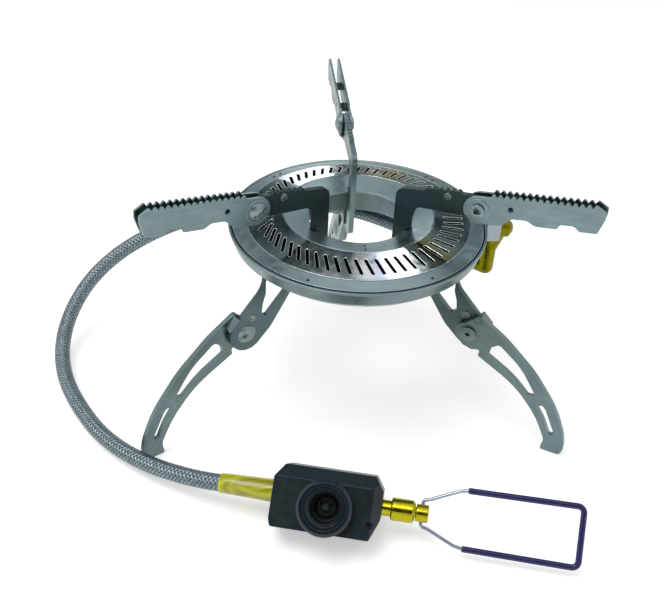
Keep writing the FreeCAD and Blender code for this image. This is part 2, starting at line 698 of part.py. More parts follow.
HOSE_POINTS = [
    (20.4, 26.6, 60.6), (0.8, 36.7, 62.8), (-20.5, 43.3, 62.0), (-42.4, 47.3, 58.2),
    (-63.8, 49.3, 51.8), (-83.5, 49.3, 43.5), (-100.0, 46.6, 34.0), (-112.3, 40.1, 24.2),
    (-119.6, 29.4, 15.4), (-122.1, 15.5, 8.6), (-119.1, -0.7, 4.6), (-110.6, -18.2, FLOOR_Z),
    (-98.4, -36.6, FLOOR_Z), (-81.5, -52.4, 5.4), (-62.0, -64.4, 9.1)]


def cord_wire(route):
    """Straight runs joined by tangent arcs, with the tightest radius."""
    edges = []
    radii = []
    last = route[0]
    for i in range(1, len(route) - 1):
        p = route[i]
        back = route[i - 1] - p
        ahead = route[i + 1] - p
        turn = math.pi - back.getAngle(ahead)
        reach = 0.45 * min(back.Length, ahead.Length)
        radii.append(reach / math.tan(turn / 2))
        start = p + back.normalize() * reach
        end = p + ahead.normalize() * reach
        half = (math.pi - turn) / 2
        middle = p + (back + ahead).normalize() * (radii[-1] / math.sin(half) - radii[-1])
        edges.append(Part.LineSegment(last, start).toShape())
        edges.append(Part.Arc(start, middle, end).toShape())
        last = end
    edges.append(Part.LineSegment(last, route[-1]).toShape())
    return Part.Wire(edges), radii


def hose():
    route = hose_route()
    wire, radii = cord_wire(route)
    way = (route[1] - route[0]).normalize()
    circle = Part.Wire(Part.makeCircle(HOSE_R, route[0], way))
    tube = wire.makePipeShell([circle], True, False)
    print("hose: length %.1f, volume %.1f of %.1f" % (
        wire.Length, tube.Volume, math.pi * HOSE_R ** 2 * wire.Length))
    print("hose: radii " + " ".join("%.0f" % r for r in radii))
    runs = [(route[i + 1] - route[i]).Length for i in range(len(route) - 1)]
    print("hose: runs " + " ".join("%.0f" % r for r in runs))
    ends = [rod(HOSE_BORE, route[0] - way, route[0] + way * 9),
            rod(HOSE_BORE, route[-1] + valve_axis(), route[-1] - valve_axis() * 9)]
    return tube.cut(Part.makeCompound(ends))


def jet_ferrule():
    start = ELBOW + elbow_way() * (ELBOW_STUB - 2)
    end = start + elbow_way() * FERRULE_L
    body = rod(FERRULE_R, start, end)
    groove = ring([(FERRULE_R - 0.35, 0), (FERRULE_R + 1, 0), (FERRULE_R + 1, 1.0),
                   (FERRULE_R - 0.35, 1.0)])
    for at in (2.0, 5.6):
        cut = groove.copy()
        cut.Placement = FreeCAD.Placement(start + elbow_way() * at,
                                          FreeCAD.Rotation(Z_AXIS, elbow_way()))
        body = body.cut(cut)
    return body.cut(rod(HOSE_R, start - elbow_way(), end + elbow_way()))


# ---------------------------------------------------------------------- valve

def valve_place(shape):
    """From the valve's own frame (x along the spindle, -y out of the socket) to the stove's."""
    copy = shape.copy()
    copy.rotate(Vector(0, 0, 0), Vector(1, 0, 0), -VALVE_TILT)
    copy.rotate(Vector(0, 0, 0), Z_AXIS, VALVE_AZIMUTH)
    copy.translate(Vector(*VALVE_AT))
    return copy


BLOCK_BOTTOM = -AXIS_H
SOCKET_Z = SOCKET_H - AXIS_H
FACE_Y = -BLOCK_T / 2


def valve_body():
    half = BLOCK_L / 2
    end = rounded([(-half + 0.8, BLOCK_BOTTOM, 1.0), (-half, BLOCK_BOTTOM + 2.4, 1.0),
                   (-half, BLOCK_BOTTOM + BLOCK_H - 4.5, 1.0),
                   (-half + BLOCK_END, BLOCK_BOTTOM + BLOCK_H, 0.8),
                   (half - BLOCK_END, BLOCK_BOTTOM + BLOCK_H, 0.8),
                   (half, BLOCK_BOTTOM + BLOCK_H - 4.5, 1.0), (half, BLOCK_BOTTOM + 7.0, 1.0),
                   (half - BLOCK_END, BLOCK_BOTTOM, 0.8)])
    block = slab(end, FACE_Y, FACE_Y + BLOCK_T)
    top = BLOCK_BOTTOM + BLOCK_H
    c = BLOCK_CHAMFER
    front = Part.makePolygon([Vector(0, FACE_Y - 1, top - c - 1), Vector(0, FACE_Y - 1, top + 1),
                              Vector(0, FACE_Y + c + 1, top + 1), Vector(0, FACE_Y - 1, top - c - 1)])
    wedge = Part.Face(front).extrude(Vector(BLOCK_L + 4, 0, 0))
    wedge.translate(Vector(-half - 2, 0, 0))
    back_y = FACE_Y + BLOCK_T
    back = Part.makePolygon([Vector(0, back_y + 1, BLOCK_BOTTOM + c + 1),
                             Vector(0, back_y + 1, BLOCK_BOTTOM - 1),
                             Vector(0, back_y - c - 1, BLOCK_BOTTOM - 1),
                             Vector(0, back_y + 1, BLOCK_BOTTOM + c + 1)])
    heel = Part.Face(back).extrude(Vector(BLOCK_L + 4, 0, 0))
    heel.translate(Vector(-half - 2, 0, 0))
    block = block.cut(wedge).cut(heel)
    side = Part.makePolygon([Vector(half + 1, FACE_Y - 1, 0), Vector(half - BLOCK_END - 1, FACE_Y - 1, 0),
                             Vector(half + 1, FACE_Y + BLOCK_END + 1, 0),
                             Vector(half + 1, FACE_Y - 1, 0)])
    corner = Part.Face(side).extrude(Vector(0, 0, 2 * BLOCK_H))
    corner.translate(Vector(0, 0, -BLOCK_H))
    block = block.cut(corner)
    way = Vector(1, 0, 0)
    cuts = [
        rod(COLLAR_R - 2.4, Vector(0, FACE_Y - 1, SOCKET_Z), Vector(0, FACE_Y + SOCKET_FLOOR, SOCKET_Z)),
        rod(1.6, Vector(0, FACE_Y, SOCKET_Z), Vector(0, 1, SOCKET_Z)),
        rod(SPINDLE_SHANK_R + 0.6, Vector(0, 0, 0), way * (half + 1)),
        rod(NECK_R - 0.4, way * (half - 5.0), way * (half + 1)),
        rod(1.2, way * (-half - 1), Vector(0, 0, 0)),
        rod(2.2, way * (-half - 1), way * (-half + 4.5)),
        rod(SCREW_R, Vector(SCREW_X, FACE_Y - 1, SCREW_Z), Vector(SCREW_X, FACE_Y + 5, SCREW_Z))]
    for cut in cuts:
        block = block.cut(cut)
    return block


SCREW_R = 1.5
SCREW_X = 15.4
SCREW_Z = -6.0


def valve_screw():
    """Blanking screw in the corner of the block."""
    low = Vector(SCREW_X, FACE_Y + 0.5, SCREW_Z)
    high = Vector(SCREW_X, FACE_Y + 4.6, SCREW_Z)
    body = rod(SCREW_R - 0.02, low, high)
    hexagon = Part.makePolygon([
        Vector(SCREW_X + 0.8 * math.cos(math.radians(60 * i)), FACE_Y,
               SCREW_Z + 0.8 * math.sin(math.radians(60 * i))) for i in range(7)])
    return body.cut(Part.Face(hexagon).extrude(Vector(0, 1.8, 0)))


def socket_collar():
    """Threaded ring that a gas canister screws into, with a relief for the seal behind."""
    mouth = COLLAR_H - 1.8
    bottom = mouth - SOCKET_DEPTH
    seat_r = COLLAR_R - 2.4 - SEAT_GAP
    body = ring([
        (RELIEF_R, bottom), (seat_r, bottom), (seat_r, 0), (COLLAR_R, 0), (COLLAR_R, COLLAR_H - 0.9),
        (COLLAR_R - 0.9, COLLAR_H), (THREAD_R + 2.7, COLLAR_H), (THREAD_R + 1.9, COLLAR_H - 1.1),
        (THREAD_R + 0.7, COLLAR_H - 1.1), (THREAD_R, mouth), (THREAD_R, mouth - THREAD_L),
        (RELIEF_R, mouth - THREAD_L)])
    body.rotate(Vector(0, 0, 0), Vector(1, 0, 0), 90)
    body.translate(Vector(0, FACE_Y, SOCKET_Z))
    return body


def socket_seal():
    y = FACE_Y + SOCKET_DEPTH - COLLAR_H + 1.8 - SEAL_R - 0.7
    return Part.makeTorus(RELIEF_R - SEAL_R, SEAL_R, Vector(0, y, SOCKET_Z), Vector(0, 1, 0))


def depressor_pin():
    """Centre pin that opens the canister's valve, behind the thread."""
    back = Vector(0, FACE_Y + SOCKET_FLOOR, SOCKET_Z)
    flange = rod(THREAD_R - 2.3, back - Vector(0, 1.4, 0), back)
    pin = rod(DEPRESSOR_R, back - Vector(0, DEPRESSOR_L, 0), back)
    body = pin.fuse(flange).removeSplitter()
    ports = [Part.makeCylinder(0.45, 3, back + Vector(2.1 * math.cos(a), -2, 2.1 * math.sin(a)),
                               Vector(0, 1, 0)) for a in (0.5, 2.6, 4.7)]
    return body.cut(Part.makeCompound(ports))


def inlet_fitting():
    """Brass barb between the block and the hose."""
    face = -BLOCK_L / 2
    thread = rod(2.2, Vector(face + 4.5, 0, 0), Vector(face, 0, 0))
    collar = rod(HOSE_R - SEAT_GAP, Vector(face, 0, 0), Vector(face - BARB_L + 0.1, 0, 0))
    barb = rod(HOSE_BORE - SEAT_GAP, Vector(face - BARB_L + 0.1, 0, 0), Vector(face - 11.0, 0, 0))
    body = thread.fuse([collar, barb]).removeSplitter()
    return body.cut(rod(0.8, Vector(face - 12, 0, 0), Vector(face + 5, 0, 0)))


def hose_sleeve():
    """Tapered sleeve over the bent end of the hose, in the stove's frame."""
    axis = valve_axis()
    face = Vector(*VALVE_AT) - axis * (BLOCK_L / 2)
    before, bend, end = hose_route()[-3:]
    back = (before - bend).normalize()
    reach = 0.45 * min((before - bend).Length, (end - bend).Length)
    start = bend + back * reach
    stop = bend + axis * reach
    half = back.getAngle(axis) / 2
    curve = reach * math.tan(half)
    middle = bend + (back + axis).normalize() * (curve / math.sin(half) - curve)
    far = bend + back * (SLEEVE_L - SLEEVE_BEND + 1.5)
    spine = Part.Wire([Part.LineSegment(far, start).toShape(), Part.Arc(start, middle, stop).toShape(),
                       Part.LineSegment(stop, face).toShape()])
    small = Part.Wire(Part.makeCircle(HOSE_R + 0.5, far, back))
    large = Part.Wire(Part.makeCircle(SLEEVE_R, face, axis))
    body = spine.makePipeShell([small, large], True, False)
    bore = Part.Wire(Part.makeCircle(HOSE_R + 0.02, far, back))
    return body.cut(spine.makePipeShell([bore], True, False))


def valve_bonnet():
    """Fixed brass bush that the spindle turns in."""
    face = BLOCK_L / 2
    thread = rod(NECK_R - 0.4, Vector(face - 5.0, 0, 0), Vector(face, 0, 0))
    neck = rod(NECK_R, Vector(face, 0, 0), Vector(face + NECK_L, 0, 0))
    start = face + NECK_L
    barrel = ring([(0.5, 0), (BONNET_R - 0.4, 0), (BONNET_R, 0.4), (BONNET_R, BONNET_L - 0.9),
                   (BONNET_R - 0.9, BONNET_L), (0.5, BONNET_L)])
    barrel.rotate(Vector(0, 0, 0), Vector(0, 1, 0), 90)
    barrel.translate(Vector(start, 0, 0))
    core = rod(1, Vector(start, 0, 0), Vector(start + BONNET_L, 0, 0))
    body = thread.fuse([neck, barrel, core]).removeSplitter()
    bore = rod(SPINDLE_SHANK_R + TURN_GAP, Vector(face - 6, 0, 0), Vector(start + BONNET_L + 1, 0, 0))
    return body.cut(bore)


def valve_spindle():
    start = BLOCK_L / 2 + NECK_L + BONNET_L + 0.3
    head = rod(SPINDLE_R, Vector(start, 0, 0), Vector(start + SPINDLE_L, 0, 0))
    head = head.makeFillet(0.35, [e for e in head.Edges if e.Curve.TypeId == "Part::GeomCircle"])
    shank = rod(SPINDLE_SHANK_R, Vector(start - SPINDLE_SHANK_L, 0, 0), Vector(start + 1, 0, 0))
    needle = Part.makeCone(SPINDLE_SHANK_R, 0.4, 2.2, Vector(start - SPINDLE_SHANK_L, 0, 0),
                           Vector(-1, 0, 0))
    body = head.fuse([shank, needle]).removeSplitter()
    side = handle_way(1)
    middle = Vector(CROSS_X, 0, 0)
    return body.cut(rod(WIRE_R + TURN_GAP, middle - side * 5, middle + side * 5))


def spindle_seal():
    """O-ring in the bonnet's throat, round the spindle."""
    return Part.makeTorus(SPINDLE_SHANK_R + 0.45, 0.35, Vector(BLOCK_L / 2 - 5.4, 0, 0),
                          Vector(1, 0, 0))


CROSS_X = BLOCK_L / 2 + NECK_L + BONNET_L + 0.3 + SPINDLE_L - CROSS_HOLE_IN


# --------------------------------------------------------------------- handle

def handle_way(side):
    """Across the loop, in the valve's frame before it is tilted."""
    tilt = math.radians(HANDLE_TILT + VALVE_TILT)
    return Vector(0, math.cos(tilt), math.sin(tilt)) * side


def handle_wire(side):
    """Centre line of one side of the loop, from the cross hole to the middle of the far end."""
    def at(x, across):
        return Vector(CROSS_X + x, 0, 0) + handle_way(side) * across
    return [at(0, 0.35), at(0, 4.6), at(2.6, 5.2), at(HANDLE_NECK - 2, HANDLE_HALF - 0.6),
            at(HANDLE_NECK + 1, HANDLE_HALF)], [
            at(HANDLE_NECK + 1, HANDLE_HALF), at(HANDLE_L, HANDLE_HALF + 0.4), at(HANDLE_L, 0)]


def round_bar(points, radius, bend):
    """A bar along a bent line, with every bend of one radius."""
    edges = []
    last = points[0]
    for i in range(1, len(points) - 1):
        p = points[i]
        back = (points[i - 1] - p)
        ahead = (points[i + 1] - p)
        half = back.getAngle(ahead) / 2
        reach = min(bend / math.tan(half), 0.45 * back.Length, 0.45 * ahead.Length)
        curve = reach * math.tan(half)
        start = p + back.normalize() * reach
        end = p + ahead.normalize() * reach
        middle = p + (back + ahead).normalize() * (curve / math.sin(half) - curve)
        edges.append(Part.LineSegment(last, start).toShape())
        edges.append(Part.Arc(start, middle, end).toShape())
        last = end
    edges.append(Part.LineSegment(last, points[-1]).toShape())
    wire = Part.Wire(edges)
    way = (points[1] - points[0]).normalize()
    circle = Part.Wire(Part.makeCircle(radius, points[0], way))
    return wire.makePipeShell([circle], True, False)


def wire_handle():
    """The bare ends of the wire, from the spindle into the grip."""
    bars = []
    for side in (1, -1):
        bare, _ = handle_wire(side)
        bars.append(round_bar(bare, WIRE_R, 1.4))
    return Part.makeCompound(bars)


def handle_grip():
    """The sleeved part of the loop."""
    _, one = handle_wire(1)
    _, other = handle_wire(-1)
    return round_bar(one[:2] + list(reversed(other[:2])), GRIP_R, BEND_R)


# -------------------------------------------------------------------- folders

def stove():
    """Every piece about the burner's axis, by node."""
    pieces = {
        "burner_pan": burner_pan(), "burner_flange": burner_flange(),
        "inner_flange": inner_flange(),
        "flame_port_ring": flame_port_ring(), "gas_diffuser": gas_diffuser(),
        "flange_rivets": flange_rivets(), "mixing_tube": mixing_tube(),
        "air_shroud": air_shroud(), "jet_holder": jet_holder(), "jet_nozzle": jet_nozzle()}
    groups = {"bracket_clips": bracket_clip(), "clip_rivets": clip_rivet(),
              "detent_pins": detent_pin(), "leg_stop_pins": stop_pin(),
              "support_rivets": support_rivet(), "leg_rivets": leg_rivet(),
              "leg_washers": leg_washer()}
    for name, shape in groups.items():
        copies = [around(shape, azimuth) for azimuth in ARM_AZIMUTHS.values()]
        pieces[name] = Part.makeCompound(copies)
    singles = {"bracket": bracket(), "pot_support": pot_support(), "leg": leg()}
    for name, shape in singles.items():
        for place, azimuth in ARM_AZIMUTHS.items():
            pieces[name + "_" + place] = around(shape, azimuth)
    return pieces


def gas_line():
    """The hose and everything at its far end, by node."""
    pieces = {"hose": hose(), "jet_ferrule": jet_ferrule(), "hose_sleeve": hose_sleeve()}
    on_valve = {
        "valve_body": valve_body(), "valve_screw": valve_screw(), "socket_collar": socket_collar(),
        "socket_seal": socket_seal(), "depressor_pin": depressor_pin(),
        "inlet_fitting": inlet_fitting(),
        "valve_bonnet": valve_bonnet(), "valve_spindle": valve_spindle(),
        "spindle_seal": spindle_seal(), "wire_handle": wire_handle(),
        "handle_grip": handle_grip()}
    for name, shape in on_valve.items():
        pieces[name] = valve_place(shape)
    return pieces


def main():
    os.makedirs("parts", exist_ok=True)
    own = stove()
    box = Part.makeCompound(list(own.values())).BoundBox
    shift = Vector(-box.Center.x, -box.Center.y, -box.ZMin)
    print("shift %.4f %.4f %.4f" % (shift.x, shift.y, shift.z))
    print("stove %.2f %.2f %.2f" % (box.XLength, box.YLength, box.ZLength))
    own.update(gas_line())
    for name, shape in own.items():
        shape.translate(shift)
        if not shape.isValid():
            print("not valid: " + name)
        shape.exportStep("parts/" + name + ".step")
    print("%d nodes" % len(own))


main()
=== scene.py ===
import bpy
import math
from mathutils import Matrix, Quaternion, Vector


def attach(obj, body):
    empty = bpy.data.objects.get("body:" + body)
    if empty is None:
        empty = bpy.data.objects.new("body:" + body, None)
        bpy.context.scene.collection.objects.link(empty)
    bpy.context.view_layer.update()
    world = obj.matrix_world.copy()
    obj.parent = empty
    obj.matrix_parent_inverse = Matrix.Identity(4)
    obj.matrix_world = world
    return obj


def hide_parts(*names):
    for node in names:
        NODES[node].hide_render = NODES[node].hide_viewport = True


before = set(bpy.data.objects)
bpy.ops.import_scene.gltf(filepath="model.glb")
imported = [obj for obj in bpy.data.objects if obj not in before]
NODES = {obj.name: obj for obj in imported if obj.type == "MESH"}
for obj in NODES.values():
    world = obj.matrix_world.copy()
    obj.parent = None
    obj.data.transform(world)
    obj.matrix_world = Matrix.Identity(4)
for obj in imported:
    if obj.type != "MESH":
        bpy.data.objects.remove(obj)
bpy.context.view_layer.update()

MM = 0.001

# The stove's axis in the row frame, and the turned camera
AXIS = Vector((1.25, -22.1336, 0.0)) * MM
CAMERA_FROM_AXIS = Vector((-40.35, -282.64, 248.8)) * MM
CAMERA_TURN = math.radians(6.6)
CAMERA_PITCH = math.radians(36.35)
CAMERA_ROLL = math.radians(3.0)
LENS = 47.01

ARM_AZIMUTHS = {"rear": 92.0, "left": 210.0, "right": 330.0}

# The hose's route about the stove's axis, in millimetres
HOSE_R = 3.15
HOSE_ROUTE = [
    (48.48, 3.35, 57.0), (35.85, 14.72, 57.8), (20.4, 26.6, 60.6), (0.8, 36.7, 62.8),
    (-20.5, 43.3, 62.0), (-42.4, 47.3, 58.2), (-63.8, 49.3, 51.8), (-83.5, 49.3, 43.5),
    (-100.0, 46.6, 34.0), (-112.3, 40.1, 24.2), (-119.6, 29.4, 15.4), (-122.1, 15.5, 8.6),
    (-119.1, -0.7, 4.6), (-110.6, -18.2, 3.2), (-98.4, -36.6, 3.2), (-81.5, -52.4, 5.4),
    (-62.0, -64.4, 9.1), (-46.72, -70.44, 12.05), (-36.05, -73.10, 12.05)]

# The valve's own frame: x along the spindle, -y out of the socket
VALVE_AT = Vector((-14.8, -78.4, 12.05)) * MM
VALVE_TILT = math.radians(45.0)
VALVE_AZIMUTH = math.radians(-14.0)
SOCKET_Z = -2.3
FACE_Y = -10.0
THREAD_R = 5.55


def add_camera():
    ahead = Vector((math.sin(CAMERA_TURN), math.cos(CAMERA_TURN), 0)) * math.cos(CAMERA_PITCH)
    ahead.z = -math.sin(CAMERA_PITCH)
    level = Vector((math.cos(CAMERA_TURN), -math.sin(CAMERA_TURN), 0))
    upright = level.cross(ahead)
    right = level * math.cos(CAMERA_ROLL) + upright * math.sin(CAMERA_ROLL)
    up = upright * math.cos(CAMERA_ROLL) - level * math.sin(CAMERA_ROLL)
    data = bpy.data.cameras.new("camera")
    data.lens = LENS
    data.sensor_width = 36.0
    data.clip_start = 0.005
    camera = bpy.data.objects.new("camera", data)
    bpy.context.scene.collection.objects.link(camera)
    turn = Matrix((right, up, -ahead)).transposed().to_4x4()
    camera.matrix_world = Matrix.Translation(AXIS + CAMERA_FROM_AXIS) @ turn
    bpy.context.scene.camera = camera


# ------------------------------------------------------------ shader helpers

class Graph:
    """One material's nodes. Coordinates are the object's own, in metres."""

    def __init__(self, name):
        self.material = bpy.data.materials.new(name)
        self.material.use_nodes = True
        self.tree = self.material.node_tree
        self.shader = self.tree.nodes["Principled BSDF"]

    def add(self, kind, inputs=None, **settings):
        node = self.tree.nodes.new("ShaderNode" + kind)
        for key, value in settings.items():
            setattr(node, key, value)
        for key, value in (inputs or {}).items():
            self.put(node, key, value)
        return node

    def put(self, node, key, value):
        if isinstance(value, bpy.types.NodeSocket):
            self.tree.links.new(value, node.inputs[key])
        else:
            node.inputs[key].default_value = value

    def set(self, **values):
        for key, value in values.items():
            self.put(self.shader, key.replace("_", " "), value)

    def base_colour(self):
        """The socket that the base colour comes from so far."""
        return self.shader.inputs["Base Color"].links[0].from_socket

    def coords(self):
        return self.add("TexCoord").outputs["Object"]

    def math(self, operation, a, b=0.0):
        return self.add("Math", {0: a, 1: b}, operation=operation).outputs[0]

    def vector(self, operation, a, b):
        return self.add("VectorMath", {0: a, 1: b}, operation=operation)

    def noise(self, vector, scale, detail=3.0, distortion=0.0):
        node = self.add("TexNoise", {"Vector": vector, "Scale": scale, "Detail": detail,
                                     "Distortion": distortion})
        return node.outputs[0]

    def span(self, value, low, high, to_low, to_high):
        node = self.add("MapRange", {0: value, 1: low, 2: high, 3: to_low, 4: to_high})
        return node.outputs[0]

    def mix(self, factor, a, b):
        node = self.add("Mix", {0: factor, 6: colour(a), 7: colour(b)}, data_type="RGBA")
        return node.outputs[2]

    def bump(self, height, strength, depth, normal=None):
        inputs = {"Height": height, "Strength": strength, "Distance": depth}
        if normal is not None:
            inputs["Normal"] = normal
        return self.add("Bump", inputs).outputs[0]

    def edges(self, radius):
        """A rounded normal, and how close the surface is to an edge, from 0 to 1."""
        soft = self.add("Bevel", {"Radius": radius}, samples=6).outputs[0]
        flat = self.add("NewGeometry").outputs["Normal"]
        same = self.vector("DOT_PRODUCT", soft, flat).outputs["Value"]
        return soft, self.span(same, 0.995, 0.86, 0.0, 1.0)


def colour(value):
    if isinstance(value, bpy.types.NodeSocket):
        return value
    return tuple(value) + (1.0,)


def shade(base, factor):
    return tuple(c * factor for c in base)


def round_coords(g, coords):
    """(radius, height, azimuth) about the stove's axis."""
    x, y, z = g.add("SeparateXYZ", {0: g.vector("SUBTRACT", coords, AXIS).outputs[0]}).outputs
    radius = g.math("SQRT", g.math("ADD", g.math("MULTIPLY", x, x), g.math("MULTIPLY", y, y)))
    return radius, z, g.math("ARCTAN2", y, x)


def turned_grain(g, coords):
    """Fine rings about the stove's axis."""
    radius, z, azimuth = round_coords(g, coords)
    way = g.add("CombineXYZ", {0: radius, 1: z, 2: g.math("MULTIPLY", azimuth, 0.0004)})
    return g.noise(way.outputs[0], 2600.0, 4.0)


def arm_grain(g, coords, azimuth, slope):
    """Fine scratches along an arm at an azimuth, at a slope, in degrees."""
    level = g.add("VectorRotate", {"Vector": coords, "Center": AXIS,
                                   "Angle": math.radians(-azimuth)}, rotation_type="Z_AXIS")
    lying = g.add("VectorRotate", {"Vector": level.outputs[0], "Angle": math.radians(slope)},
                  rotation_type="Y_AXIS")
    way = g.vector("MULTIPLY", lying.outputs[0], (0.05, 1.0, 1.0))
    return g.noise(way.outputs[0], 2200.0, 4.0)


def metal(name, base, rough, grain="cloud", edge=0.25, bright=1.7, mottle=0.18, bump=0.25,
          azimuth=0.0, slope=0.0):
    """Worn metal: clouded colour, fine grain, smoother along its edges, and brighter there, partly
    as wear and partly as a painted highlight.
    """
    g = Graph(name)
    coords = g.coords()
    cloud = g.noise(coords, 55.0, 5.0, 0.6)
    if grain == "turned":
        fine = turned_grain(g, coords)
    elif grain == "arm":
        fine = arm_grain(g, coords, azimuth, slope)
    else:
        fine = g.noise(coords, 1500.0, 3.0)
    smudge = g.noise(coords, 170.0, 4.0, 1.5)
    soft, edge_mask = g.edges(edge * MM)
    body = g.mix(g.span(cloud, 0.3, 0.7, 0.0, 1.0), shade(base, 1 - mottle), shade(base, 1 + mottle))
    body = g.mix(g.span(fine, 0.35, 0.65, 0.0, 0.35), body, shade(base, 0.75))
    # Edges painted brighter, partly as wear and partly as a painted highlight.
    worn_and_glint = g.math("MULTIPLY", edge_mask, g.span(smudge, 0.35, 0.6, 0.35, 1.0))
    g.set(Base_Color=g.mix(worn_and_glint, body, tuple(min(c * bright, 0.95) for c in base)))
    g.set(Metallic=1.0)
    rougher = g.span(smudge, 0.3, 0.7, rough - 0.06, rough + 0.1)
    g.set(Roughness=g.math("MULTIPLY", rougher, g.span(fine, 0.3, 0.7, 0.85, 1.15)))
    g.set(Normal=g.bump(fine, bump, 0.02 * MM, soft))
    return g


def heat_and_reflection_patch(g, azimuth, middle, width):
    """1 at one azimuth of the ring, falling to 0 at width from it, in degrees."""
    away = g.math("ABSOLUTE", g.math("SUBTRACT", azimuth, math.radians(middle)))
    return g.span(away, 0.0, math.radians(width), 1.0, 0.0)


def polished_band():
    """Mirror steel with straw temper tints, a blue tint painted where its highlights fall, and
    painted dark reflections at the sides and beside the arms.
    """
    g = metal("polished_band", (0.88, 0.91, 0.92), 0.08, "turned", 0.3, 1.1, 0.04, 0.05)
    radius, _, azimuth = round_coords(g, g.coords())
    body = g.base_colour()
    patches = g.noise(g.coords(), 210.0, 3.0, 0.8)
    # Painted dark reflections: darker, streaked colour at the left, the right, the front-left and
    # beside the rear arm.
    painted_dark_reflection = heat_and_reflection_patch(g, azimuth, 178.0, 46.0)
    for middle, width in ((-178.0, 46.0), (0.0, 44.0), (-112.0, 22.0), (86.0, 12.0)):
        painted_dark_reflection = g.math("MAXIMUM", painted_dark_reflection, heat_and_reflection_patch(g, azimuth, middle, width))
    reflection_streaks = g.span(g.noise(g.coords(), 95.0, 3.0, 1.2), 0.3, 0.6, 0.65, 1.0)
    body = g.mix(g.math("MULTIPLY", g.span(painted_dark_reflection, 0.0, 0.5, 0.0, 1.0), reflection_streaks), body,
                 (0.12, 0.155, 0.165))
    gold = g.math("MAXIMUM", heat_and_reflection_patch(g, azimuth, 62.0, 20.0), heat_and_reflection_patch(g, azimuth, -46.0, 13.0))
    gold = g.math("MULTIPLY", gold, g.span(patches, 0.3, 0.55, 0.4, 1.0))
    body = g.mix(gold, body, (0.80, 0.62, 0.22))
    # Painted reflection colour: a blue tint where the band's highlights fall, at the front and the
    # back-left.
    blue = g.math("MAXIMUM", heat_and_reflection_patch(g, azimuth, -84.0, 9.0), heat_and_reflection_patch(g, azimuth, 126.0, 14.0))
    body = g.mix(g.math("MULTIPLY", blue, 0.6), body, (0.30, 0.34, 0.58))
    border = g.span(radius, 40.6 * MM, 42.3 * MM, 0.0, 0.45)
    body = g.mix(border, body, (0.30, 0.36, 0.37))
    # Painted highlight: the slots' rims and the band's edges painted bright.
    _, painted_rim_highlight = g.edges(0.3 * MM)
    g.set(Base_Color=g.mix(painted_rim_highlight, body, (0.88, 0.92, 0.93)))
    return g.material


def blackened(name, base, rough, edge, edge_glint_colour):
    """Black anodised or plated metal, with bluish light on its edges."""
    g = Graph(name)
    coords = g.coords()
    cloud = g.noise(coords, 80.0, 4.0, 0.4)
    fine = g.noise(coords, 2600.0, 2.0)
    soft, edge_mask = g.edges(edge * MM)
    body = g.mix(g.span(cloud, 0.3, 0.7, 0.0, 1.0), shade(base, 0.75), shade(base, 1.3))
    wear_and_glint = g.noise(coords, 420.0, 4.0, 1.0)
    # Painted highlight: bluish light on the edges, broken up by noise.
    edge_glint = g.math("MULTIPLY", edge_mask, g.span(wear_and_glint, 0.38, 0.6, 0.3, 1.0))
    g.set(Base_Color=g.mix(edge_glint, body, edge_glint_colour), Metallic=0.0, Specular_IOR_Level=0.35)
    g.set(Roughness=g.span(wear_and_glint, 0.3, 0.7, rough - 0.05, rough + 0.1))
    g.set(Normal=g.bump(fine, 0.25, 0.015 * MM, soft))
    return g.material


def rubber(name, base):
    g = Graph(name)
    coords = g.coords()
    g.set(Base_Color=g.mix(g.noise(coords, 300.0), shade(base, 0.7), shade(base, 1.4)))
    g.set(Roughness=0.62, Specular_IOR_Level=0.3)
    g.set(Normal=g.bump(g.noise(coords, 1800.0), 0.3, 0.02 * MM))
    return g.material


def amber_sleeve():
    """Clear yellow shrink tube, wrinkled lengthwise."""
    g = Graph("amber_sleeve")
    coords = g.coords()
    way = g.vector("MULTIPLY", coords, (0.18, 1.0, 1.0)).outputs[0]
    folds = g.noise(way, 300.0, 1.0, 0.6)
    # Painted shade and highlight: the colour follows the folds, darker in their hollows and lighter
    # on their crests.
    g.set(Base_Color=g.mix(g.span(folds, 0.36, 0.62, 0.0, 1.0), (0.29, 0.28, 0.001),
                           (0.53, 0.53, 0.002)))
    g.set(Roughness=0.2, IOR=1.5, Transmission_Weight=0.0, Coat_Weight=0.6,
          Coat_Roughness=0.06, Specular_IOR_Level=0.4)
    g.set(Normal=g.bump(folds, 0.9, 0.5 * MM))
    return g.material


def braid_wire():
    """Bundles of fine wires: UV runs across a bundle and along it."""
    g = Graph("braid_wire")
    across = g.add("SeparateXYZ", {0: g.add("TexCoord").outputs["UV"]}).outputs[0]
    ridges = g.math("ABSOLUTE", g.math("SINE", g.math("MULTIPLY", across, 3 * math.pi)))
    side = g.math("ABSOLUTE", g.math("SUBTRACT", across, 0.5))
    cloud = g.noise(g.coords(), 900.0, 2.0)
    body = g.mix(g.span(cloud, 0.3, 0.7, 0.0, 1.0), (0.16, 0.21, 0.22), (0.34, 0.42, 0.43))
    # Painted shade: each strand darkens to a dark blue towards its sides, where it dips under its
    # neighbours.
    body = g.mix(g.span(side, 0.22, 0.5, 0.0, 0.95), body, (0.010, 0.014, 0.07))
    # Painted shade in the grooves between a strand's wires.
    g.set(Base_Color=g.mix(g.span(ridges, 0.0, 0.5, 0.7, 0.0), body, (0.04, 0.05, 0.08)))
    g.set(Metallic=1.0, Roughness=0.3)
    g.set(Normal=g.bump(ridges, 0.8, 0.08 * MM))
    return g.material


